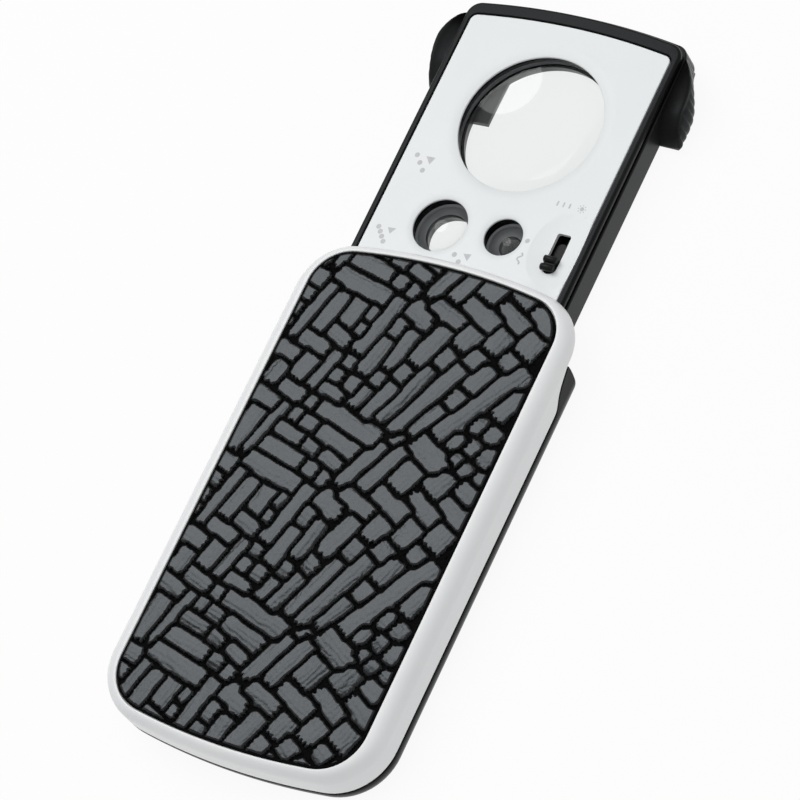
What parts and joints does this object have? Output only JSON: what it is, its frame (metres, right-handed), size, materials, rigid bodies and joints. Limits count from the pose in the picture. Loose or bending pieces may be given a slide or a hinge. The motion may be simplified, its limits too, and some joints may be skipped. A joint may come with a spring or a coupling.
{
  "type": "pull-out pocket magnifier",
  "caption": "Flat pocket magnifier: a lens head with LED and UV light pulls out of a leather-look sleeve, for inspecting banknotes.",
  "frame": {"origin": "under the middle of the bounding box, on the plane of the back shell's flat underside, with the slider part way out", "axes": "+Y along the length, towards the end that pulls out; +Z out of the lens face, away from the surface it lies on; +X to the right as it is looked at from above with +Y up"},
  "size_m": [0.0598, 0.1604, 0.0132],
  "materials": {
    "white_plastic": "satin white moulded plastic",
    "embossed_panel": "glossy black leather-look panel, embossed with a woven pattern",
    "black_plastic": "black moulded plastic, satin to gloss",
    "knob_plastic": "matt black plastic",
    "lens_glass": "clear polished lens",
    "led_resin": "clear to milky LED resin",
    "cell_steel": "nickel plated cell can",
    "circuit_board": "green solder mask",
    "resistor": "black chip with tinned ends",
    "contact_strip": "nickel plated spring strip",
    "screw_steel": "blackened to bright steel"
  },
  "bodies": {
    "sleeve": {"front_shell": "white_plastic", "leather_panel": "embossed_panel", "back_shell": "black_plastic", "shell_screw_1": "screw_steel", "shell_screw_2": "screw_steel", "shell_screw_3": "screw_steel", "shell_screw_4": "screw_steel", "detent_spring_left": "screw_steel", "detent_spring_right": "screw_steel"},
    "slider": {"faceplate": "white_plastic", "upper_frame": "black_plastic", "lower_case": "black_plastic", "lens_30x": "lens_glass", "lens_60x": "lens_glass", "lens_90x": "lens_glass", "circuit_board": "circuit_board", "switch_housing": "knob_plastic", "white_led_left": "led_resin", "white_led_right": "led_resin", "uv_led": "led_resin", "resistor_1": "resistor", "resistor_2": "resistor", "button_cell_1": "cell_steel", "button_cell_2": "cell_steel", "button_cell_3": "cell_steel", "cell_bridge_top": "contact_strip", "cell_bridge_bottom": "contact_strip", "contact_positive": "contact_strip", "contact_negative": "contact_strip", "battery_door": "black_plastic", "battery_door_screw": "screw_steel", "case_screw_1": "screw_steel", "case_screw_2": "screw_steel", "case_screw_3": "screw_steel", "case_screw_4": "screw_steel"},
    "switch": {"switch_knob": "knob_plastic", "switch_wiper": "contact_strip"}
  },
  "joints": [
    {"name": "slider_pull", "type": "slide", "parent": "sleeve", "child": "slider", "axis": [0, 1, 0], "range_m": [-0.0486, 0.004]},
    {"name": "switch_slide", "type": "slide", "parent": "slider", "child": "switch", "axis": [0, 1, 0], "range_m": [0, 0.0052]}
  ]
}
